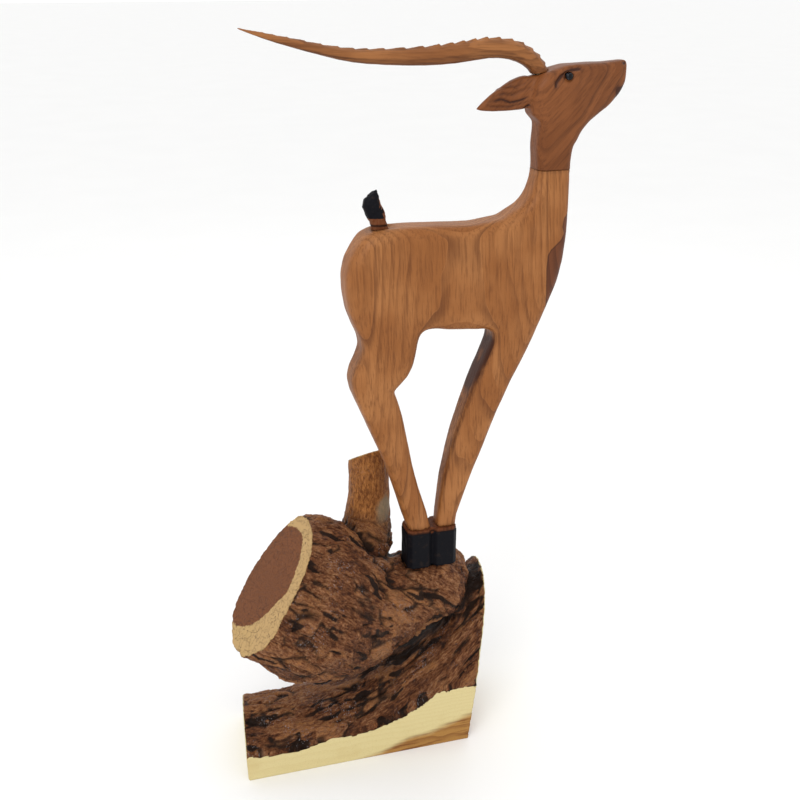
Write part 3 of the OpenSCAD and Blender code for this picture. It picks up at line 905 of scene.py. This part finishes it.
    def furrows(self, skin: Skin, along: Array, stub: Array, sawn: Array) -> tuple:
        """Works out the bark's furrows, cracks and plates.

        Args:
            skin: The log's skin.
            along: The bark's run.
            stub: How far each vertex is on the stub.
            sawn: 1 on the sawn faces.

        Returns:
            Each vertex's depth in metres, how dark the painted shade in its furrows, cracks and crevice is,
            from 0 to 1, and its plate's tone.
        """
        sway = np.stack([grain_noise(along * 20 + k, 3) for k in (0.0, 31.0, 57.0)], 1)
        warped = along + sway * np.array([0.016, 0.009, 0.009])
        edge, tone = cells(warped * np.array([1 / 0.062, 1 / 0.0195, 1 / 0.0195]))
        broad = grain_noise(along * np.array([12.0, 30.0, 30.0]) + 9.0, 3)
        crests = ridges(warped * np.array([16.0, 64.0, 64.0]) + 4.0, 3)
        flakes = ridges(warped * np.array([52.0, 190.0, 190.0]) + 7.0, 2)
        furrow = (1 - ease(0.0, 0.34, edge)) * ease(-0.35, 0.3, broad + 0.3 * tone)
        hollow = self.hollows(skin)
        rough = 1 - 0.75 * stub
        depth = self.furrow_depth * furrow + self.crack_depth * (1 - crests) + 1.1 * MM * (1 - flakes)
        depth = (depth - 1.6 * MM * (tone - 0.5) - 1.8 * MM * broad - 1.0 * MM) * rough
        depth = depth * (1 - 0.6 * hollow) + self.crevice_depth * hollow
        depth *= 1 - 0.75 * skin.spread(sawn, 4)
        # Painted shade: darkness in the furrows and cracks, and in the crevice between the limbs.
        dark = np.clip(np.maximum(0.85 * furrow, ease(0.55, 1.1, 1 - crests)) * rough + 0.85 * hollow, 0, 1)
        return depth, dark, np.clip(0.5 * tone + 0.5 * flakes, 0, 1)

    def hollows(self, skin: Skin) -> Array:
        """Finds the crevices where limbs meet.

        Args:
            skin: The log's skin.

        Returns:
            How deep each vertex is in one, from 0 to 1.
        """
        places = skin.places
        normals = skin.spread(skin.normals, 3)
        normals /= np.maximum(np.linalg.norm(normals, axis=1), 1e-6)[:, None]
        dip = ((skin.spread(places, 12) - places) * normals).sum(1)
        x, _, z = places.T
        fork = bell(z - self.crest(x) - self.fork_rise, self.fork_width) * ease(*self.fork_start, x)
        return skin.spread(np.maximum(ease(0.25 * MM, 1.1 * MM, dip), fork), 2)

    def mark_faces(self, skin: Skin, faces: list[Face], stub: Array) -> None:
        """Marks heartwood, rings and cracks on the sawn faces.

        Args:
            skin: The log's skin.
            faces: Its sawn faces.
            stub: How far each vertex is on the stub.
        """
        p = skin.places
        x, y, z = p.T
        wave = grain_noise(p * 26, 3)
        start, height, slope = self.front_heart
        heart = height + (x - start) * slope + 0.004 * wave - z
        oval_face = self.oval_end(faces)
        on = np.abs((p - oval_face.middle) @ oval_face.normal) < 4 * MM
        on &= x < oval_face.middle[0] + 0.09
        rise = np.cross(np.cross(oval_face.normal, [0, 0, 1.0]), oval_face.normal)
        rise /= np.linalg.norm(rise)
        s = (p - oval_face.middle) @ rise
        t = y - oval_face.middle[1]
        shift, wide, tall = self.oval_heart
        far = np.hypot((t - shift) / wide, s / tall)
        heart = np.where(on, (1 - far) * 0.06 + 0.0035 * wave, heart)
        pith = np.where(on, np.hypot(t - 0.008, s), np.hypot(y - 0.025, z + 0.005))
        top = self.stub_top(faces)
        off = np.hypot(x - top[0], y - top[1])
        heart = np.where(stub > 0.5, self.stub_heart - off, heart)
        pith = np.where(stub > 0.5, off, pith)
        skin.mark("heart", heart / CM)
        skin.mark("pith", pith / CM)
        skin.mark("oval", np.where(on | (stub > 0.5), 1.0, 0.0))
        skin.mark("spoke", np.arctan2(s, -t))
        grey = bell(np.hypot(x - top[0] - 0.014, (z - top[2] + 0.075) * 0.45), 0.013)
        skin.mark("grey", grey * (y < top[1]) + 0.35 * grain_noise(p * 45, 2))


# ---------- the animal ----------


@dataclass
class CarvedBody:
    """Barrel, neck stump and the two legs, carved from one board."""

    voxel: float = 2.0 * MM
    heart_edge: tuple = ((186, 779), (177, 774), (168, 768), (166, 757), (169, 748), (165, 741),
                         (151, 729), (147, 722), (146, 704), (147, 683), (149, 660), (154, 630))
    finish: CarvedWood = field(default_factory=lambda: CarvedWood(
        "body_wood", (0.035, 0.105, 0.70), (0.05, 0.04, 0)))

    def build(self) -> None:
        """Makes the body, gives it its tool marks, stains and painted shade, and dresses it."""
        skin = Skin.from_node("torso_and_legs", "body_and_legs", self.voxel)
        low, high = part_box("torso_and_legs")
        skin.round_off(10, low.z, high.z)
        p = skin.places
        lumps = grain_noise(p * np.array([22, 22, 14]), 2)
        chatter = grain_noise(p * np.array([120, 60, 120]), 1)
        skin.carve(0.7 * MM * lumps + 0.12 * MM * chatter)
        skin.mark("stain_and_shade", self.stains_and_shade(skin))
        skin.mark("heart", self.heart(skin))
        hand_over(skin.piece, self.finish, Slot.BODY, "torso_and_legs")

    def heart(self, skin: Skin) -> Array:
        """Measures how far each vertex is inside the dark heartwood at the chest.

        Args:
            skin: The body's skin.

        Returns:
            A distance in centimetres, negative outside.
        """
        p = skin.places
        line = [(x * MM, z * MM) for x, z in self.heart_edge]
        flat = p[:, [0, 2]]
        gap, _ = line_distance(flat, line)
        edge_x = np.interp(flat[:, 1], [z for _, z in line][::-1], [x for x, _ in line][::-1])
        inside = (flat[:, 0] > edge_x) & (flat[:, 1] < line[0][1]) & (flat[:, 1] > line[-1][1])
        return np.where(inside, gap, -gap) / CM

    def stains_and_shade(self, skin: Skin) -> Array:
        """Works out the stains round the tail and at the feet, and the painted shade on the legs' rear
        faces, which on the foreleg is partly a real stain.

        Args:
            skin: The body's skin.

        Returns:
            How dark each vertex is, from 0 to 1.
        """
        p, n = skin.places, skin.normals
        low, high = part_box("torso_and_legs")
        tail_low, tail_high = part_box("tail")
        root = np.array([(tail_low.x + tail_high.x) / 2, 0, tail_low.z])
        ring = 0.75 * bell(np.linalg.norm(p - root, axis=1), 0.017)
        foot = 0.5 * bell(p[:, 2] - low.z, 0.004)
        # Painted shade, partly a real dark stain: the foreleg's rear face, turned from the light, is
        # darkened in streaks.
        fore = ease(0.0, 0.02, p[:, 0] + 0.012) * ease(0.64, 0.60, p[:, 2]) * ease(0.35, 0.42, p[:, 2])
        streaky = 0.52 + 0.3 * grain_noise(p * np.array([60, 90, 16]), 3)
        rear_of_fore = streaky * fore * ease(0.5, 0.8, -n[:, 0])
        # Painted shade: the hind leg's rear-facing faces are darkened.
        hock = 0.45 * ease(0.6, 0.95, -n[:, 0]) * ease(0.66, 0.60, p[:, 2]) * ease(0.53, 0.56, p[:, 2])
        joint = 0.35 * bell(p[:, 2] - high.z, 0.003)
        return np.clip(ring + foot + rear_of_fore + hock + joint, 0, 1)


class Side(Enum):
    """The two sides of the head, as the sign of y."""

    NEAR = -1
    FAR = 1


@dataclass(frozen=True)
class Cut:
    """A gouge stroke: its line from the eye in millimetres, its depth and width, and how dark the painted
    shade in it is.
    """

    line: tuple
    depth: float
    width: float
    stain_and_shade: float = 0.0


@dataclass
class CarvedHead:
    """Neck and head with the ear, carved from one piece and glued on the body."""

    voxel: float = 1.25 * MM
    # How strongly the painted shade in the gouges shows.
    groove_shade_gain: float = 1.5
    cuts: tuple = (
        Cut(((-18, -13), (-17, -6), (-11, 1), (-3, 6), (6, 8.5), (16, 9)), 3.6, 2.7, 1.1),
        Cut(((-8, -2), (-2, 1), (5, 2)), 1.6, 3.4, 0.7),
        Cut(((-15, -8), (-8, -5), (4, -4), (14, 2)), 1.4, 4.0),
        Cut(((76, 12.5), (82, 14)), 2.6, 2.4, 1.3),
        Cut(((68, -30), (74, -26), (79, -20), (81, -14)), 1.4, 3.2, 1.0),
        Cut(((-110, -35), (-104, -27), (-95, -19), (-86, -14)), 1.3, 2.2, 0.8),
        Cut(((-92, -28), (-80, -26), (-70, -30), (-58, -28), (-48, -24)), 2.6, 2.0, 0.8),
        Cut(((-88, -21), (-78, -19), (-68, -21), (-56, -16), (-46, -13)), 1.9, 1.8, 0.45),
        Cut(((-80, -13), (-70, -11), (-62, -12), (-52, -7)), 1.6, 1.6, 0.4),
        Cut(((-98, -34), (-84, -35), (-68, -35), (-54, -31), (-46, -28)), 1.6, 1.8, 0.45),
        Cut(((-54, -41), (-49, -38), (-45, -33)), 2.8, 2.6, 0.9),
    )
    swells: tuple = (
        Cut(((-100, -31), (-90, -31), (-80, -30)), 1.4, 3.0),
        Cut(((-84, -16), (-74, -15), (-64, -16)), 1.2, 2.6),
        Cut(((-10, -14), (4, -12), (16, -6)), 1.2, 5.0),
        Cut(((66, 2), (74, 0)), 0.8, 6.0),
    )
    finish: CarvedWood = field(default_factory=lambda: CarvedWood(
        "head_wood", (0.16, 0.085, 0.80), (0, -0.75, 0), ring_gap=0.0058, wobble=0.008,
        light=(0.205, 0.067, 0.019), middle=(0.148, 0.045, 0.011), dark=(0.060, 0.017, 0.004)))

    def build(self) -> None:
        """Makes the head, carves its features on both sides, paints shade into the gouges and dresses it.
        """
        skin = Skin.from_node("neck_and_head", "neck_and_head_carving", self.voxel)
        skin.round_off(14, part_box("neck_and_head")[0].z)
        p = skin.places
        skin.carve(0.45 * MM * grain_noise(p * 30, 2))
        stain_and_shade = np.zeros(len(p))
        depth = np.zeros(len(p))
        for side in Side:
            bead = "eye_right" if side is Side.NEAR else "eye_left"
            low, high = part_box(bead)
            eye = np.array([(low.x + high.x) / 2, (low.z + high.z) / 2])
            flat = (p[:, [0, 2]] - eye) / MM
            facing = ease(0.15, 0.5, skin.normals[:, 1] * side.value)
            for sign, strokes in ((1, self.cuts), (-1, self.swells)):
                for cut in strokes:
                    gap, along = line_distance(flat, list(cut.line))
                    taper = 0.35 + 0.65 * np.sqrt(np.clip(4 * along * (1 - along), 0, 1))
                    hit = bell(gap, cut.width) * facing * taper
                    depth += sign * cut.depth * MM * hit
                    # Painted shade in the gouge, darkest along its middle.
                    dark = self.groove_shade_gain * cut.stain_and_shade * bell(gap, cut.width * 0.8) * facing * taper
                    stain_and_shade = np.maximum(stain_and_shade, dark)
        skin.carve(depth)
        skin.mark("stain_and_shade", np.clip(stain_and_shade + self.seams(skin), 0, 1))
        skin.mark("heart", np.full(len(p), -5.0))
        hand_over(skin.piece, self.finish, Slot.HEAD, "neck_and_head")

    def seams(self, skin: Skin) -> Array:
        """Works out the glue line at the neck joint, and the dark chin.

        Args:
            skin: The head's skin.

        Returns:
            How dark each vertex is stained.
        """
        p = skin.places
        low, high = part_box("neck_and_head")
        chin = ease(-24 * MM, -14 * MM, p[:, 0] - high.x) * bell(p[:, 2] - high.z + 36 * MM, 9 * MM)
        return 0.35 * bell(p[:, 2] - low.z, 1.0 * MM) + chin


@dataclass
class CarvedHorn:
    """The long swept-back horn with a saw-toothed upper edge."""

    voxel: float = 1.1 * MM
    slices: int = 60
    finish: CarvedWood = field(default_factory=lambda: CarvedWood(
        "horn_wood", (-0.05, 0.05, 0.93), (0, 1.52, 0), ring_gap=0.005, wobble=0.007,
        light=(0.300, 0.118, 0.036), middle=(0.210, 0.074, 0.020), dark=(0.085, 0.026, 0.007)))

    def build(self) -> None:
        """Makes the horn, bevels its lower side, paints shade under it and dresses it."""
        skin = Skin.from_node("horn", "horn_carving", self.voxel)
        skin.smooth(1)
        p = skin.places
        ripple = grain_noise(p * np.array([40, 90, 90]), 2)
        skin.carve(0.35 * MM * ripple)
        low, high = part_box("horn")
        below = self.below_middle(p)
        lower = ease(0.0, 2.5 * MM, below) * ease(high.x - 4 * MM, high.x - 30 * MM, p[:, 0])
        skin.carve(lower * np.clip(0.22 * below, 0, 2 * MM))
        # Painted shade: the lower side and the downward faces are darkened; the root is darker as well.
        root = bell(np.linalg.norm((p - np.array([high.x, 0, low.z])) * [0.8, 0.2, 1], axis=1), 12 * MM)
        under = ease(0.35, 0.95, -skin.normals[:, 2])
        skin.mark("stain_and_shade", np.clip(0.5 * root + 0.25 * under + 0.4 * lower, 0, 1))
        skin.mark("heart", np.full(len(p), -5.0))
        hand_over(skin.piece, self.finish, Slot.HORN, "horn")

    def below_middle(self, p: Array) -> Array:
        """How far each vertex lies under the horn's middle line.

        Args:
            p: The vertices.

        Returns:
            A height for each vertex, negative above the middle line.
        """
        low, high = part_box("horn")
        cuts = np.linspace(low.x, high.x, self.slices)
        slice_of = np.digitize(p[:, 0], cuts)
        slices = (slice_of == k + 1 for k in range(self.slices))
        middle = [p[inside, 2].mean() if np.any(inside) else low.z for inside in slices]
        return np.interp(p[:, 0], cuts, middle) - p[:, 2]


@dataclass
class TailTuft:
    """The short tail: a brown root and a black tuft that is cut in facets."""

    voxel: float = 0.9 * MM
    finish: BlackPaint = field(default_factory=lambda: BlackPaint("tail_black", wood=(0.16, 0.060, 0.026)))

    def build(self) -> None:
        """Makes the tail, cuts its facets and dresses it."""
        skin = Skin.from_node("tail", "tail_tuft", self.voxel)
        low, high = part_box("tail")
        p = skin.places
        height = (p[:, 2] - low.z) / (high.z - low.z)
        facet, _ = cells(p * 95)
        skin.carve(0.9 * MM * (1 - ease(0.0, 0.5, facet)) + 0.3 * MM * grain_noise(p * 150, 2))
        front = ease(0.45, 0.8, skin.normals[:, 0]) * ease(0.85, 0.7, height)
        skin.mark("bare", np.maximum(ease(0.34, 0.26, height), front))
        skin.mark("groove", 0.8 * bell(height - 0.12, 0.05))
        hand_over(skin.piece, self.finish, Slot.TAIL, "tail")


@dataclass
class Hooves:
    """Two black hooves side by side, with a brown ledge and a dark joint line under each leg."""

    voxel: float = 1.1 * MM
    ledge: float = 4.5 * MM
    finish: BlackPaint = field(default_factory=lambda: BlackPaint("hoof_black"))

    def build(self) -> None:
        """Makes the hooves, their ledge and crease, and dresses them."""
        skin = Skin.from_node("hoof_block", "hooves", self.voxel)
        skin.smooth(2)
        low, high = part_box("hoof_block")
        p = skin.places
        down = high.z - p[:, 2]
        side = ease(0.35, 0.8, np.hypot(skin.normals[:, 0], skin.normals[:, 1]))
        wave = 0.6 * MM * grain_noise(p * 60, 2)
        groove = bell(down - self.ledge - wave, 1.1 * MM) * side
        step = ease(self.ledge, 0.0, down + wave) * side
        skin.carve(0.9 * MM * groove + 1.4 * MM * step + 0.5 * MM * grain_noise(p * 45, 2))
        middle = (low.x + high.x) / 2
        crease = bell(p[:, 0] - middle, 3.5 * MM) * ease(0.016, 0.0, down)
        bare = np.maximum(ease(self.ledge + 1 * MM, self.ledge - 1 * MM, down + wave), crease)
        bare *= ease(low.x + 1 * MM, low.x + 7 * MM, p[:, 0] + 0.5 * p[:, 1] + 0.02)
        skin.mark("bare", bare)
        skin.mark("groove", groove + bell(down - 2.4 * MM, 0.5 * MM) * side * 0.6)
        hand_over(skin.piece, self.finish, Slot.HOOF, "hoof_block")


@dataclass
class SmallParts:
    """The eye beads and the hidden dowels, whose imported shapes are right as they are."""

    eyes: tuple[str, ...] = ("eye_left", "eye_right")
    dowels: tuple[str, ...] = ("leg_dowels", "neck_dowels", "horn_dowel", "tail_dowel")

    def build(self) -> None:
        """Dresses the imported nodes."""
        groups = ((self.eyes, Slot.EYE, EyeBead()), (self.dowels, Slot.DOWEL, DowelWood()))
        for names, slot, finish in groups:
            parts = [bpy.data.objects[name] for name in names]
            finish.dress(*parts)
            for part in parts:
                LOG.info("%s keeps its packed shape", part.name)


# ---------- the studio ----------


def turn_to(place: Point, aim: Point) -> Euler:
    """The turn that points a lamp or a camera at place towards aim."""
    return (Vector(aim) - Vector(place)).to_track_quat("-Z", "Y").to_euler()


@dataclass
class Lamp:
    """A soft square light, aimed at a point."""

    name: str
    place: Point
    aim: Point
    size: float
    power: float
    colour: Colour = (1, 1, 1)

    def build(self) -> None:
        """Makes the light."""
        data = bpy.data.lights.new(self.name, "AREA")
        data.size, data.energy, data.color = self.size, self.power, self.colour
        lamp = bpy.data.objects.new(self.name, data)
        lamp.location = self.place
        lamp.rotation_euler = turn_to(self.place, self.aim)
        bpy.context.scene.collection.objects.link(lamp)


@dataclass
class Studio:
    """Camera, floor and soft light."""

    eye: Point = (-0.398, -1.250, 1.070)
    aim: Point = (-0.040, 0.0, 0.534)
    lens: float = 48.2
    floor_width: float = 60.0
    sky: float = 1.08
    lamps: tuple[Lamp, ...] = (
        Lamp("key", (-1.5, -1.9, 2.6), (0, 0, 0.5), 1.3, 30),
        Lamp("fill", (1.9, -1.6, 1.3), (0, 0, 0.5), 2.2, 3),
        Lamp("back", (0.6, 2.2, 2.2), (0, 0, 0.5), 2.0, 4),
    )

    def camera(self) -> None:
        """Makes the camera."""
        data = bpy.data.cameras.new("camera")
        data.lens, data.sensor_width = self.lens, 36.0
        camera = bpy.data.objects.new("camera", data)
        camera.location = self.eye
        camera.rotation_euler = turn_to(self.eye, self.aim)
        bpy.context.scene.collection.objects.link(camera)
        bpy.context.scene.camera = camera

    def build(self) -> None:
        """Makes the floor and the lights."""
        deselect()
        bpy.ops.mesh.primitive_plane_add(size=self.floor_width, location=(0, 0, 0))
        floor = bpy.context.object
        floor.name = "floor"
        PaleFloor().dress(floor)
        world = bpy.data.worlds.new("studio")
        world.use_nodes = True
        sky = world.node_tree.nodes["Background"]
        sky.inputs["Color"].default_value = (1, 1, 1, 1)
        sky.inputs["Strength"].default_value = self.sky
        bpy.context.scene.world = world
        bpy.context.scene.view_settings.view_transform = "Standard"
        for lamp in self.lamps:
            lamp.build()


def main() -> None:
    """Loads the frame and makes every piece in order."""
    logging.basicConfig(level=logging.INFO, format="%(name)s: %(message)s")
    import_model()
    studio = Studio()
    studio.camera()
    animal = (Hooves(), CarvedBody(), CarvedHead(), CarvedHorn(), TailTuft(), SmallParts())
    for part in (ForkedLog(), *animal, studio):
        part.build()


if __name__ == "__main__":
    main()
